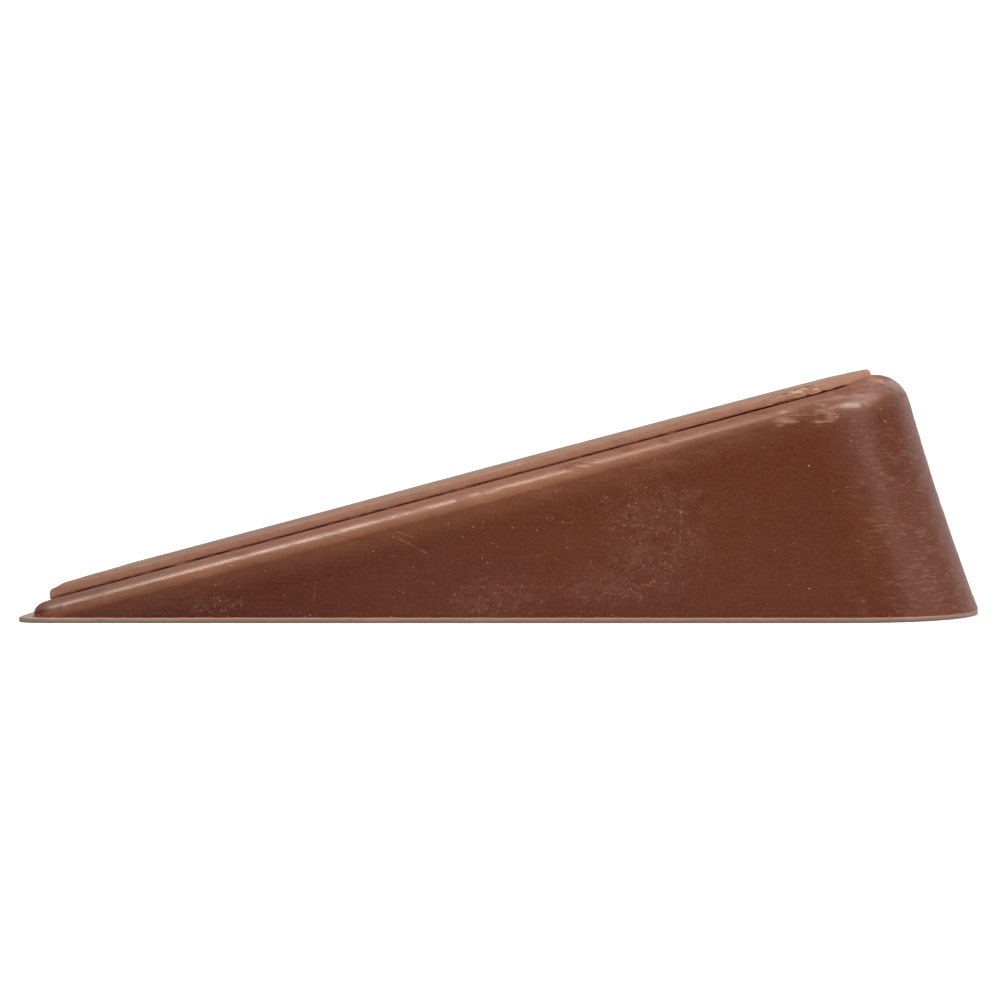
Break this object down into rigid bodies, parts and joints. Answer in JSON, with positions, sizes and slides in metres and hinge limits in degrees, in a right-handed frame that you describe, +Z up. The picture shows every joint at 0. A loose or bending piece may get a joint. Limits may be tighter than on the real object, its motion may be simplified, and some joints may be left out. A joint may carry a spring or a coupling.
{
  "type": "door stop wedge",
  "caption": "Brown rubber door wedge with a rounded heel, a raised tread pad on its ramp and a thin non-slip sole that stands out as a lip at the toe.",
  "frame": {"origin": "centre of the footprint on the floor, under the middle of the bounding box", "axes": "+X from the thin toe to the thick heel, +Y across the wedge, +Z up from the floor"},
  "size_m": [0.1206, 0.0572, 0.0315],
  "materials": {
    "body_rubber": "satin moulded rubber, red-brown, with fine drag marks, dust and grey scuffs",
    "pad_rubber": "dull moulded rubber, paler brown, rubbed pale along its edges",
    "sole_rubber": "dull calendered rubber, pale brown with a greyer lower edge",
    "bond_film": "dark cured adhesive"
  },
  "bodies": {
    "root": {"wedge_body": "body_rubber", "tread_pad": "pad_rubber", "pad_bond_film": "bond_film", "sole_sheet": "sole_rubber", "sole_bond_film": "bond_film"}
  },
  "joints": []
}
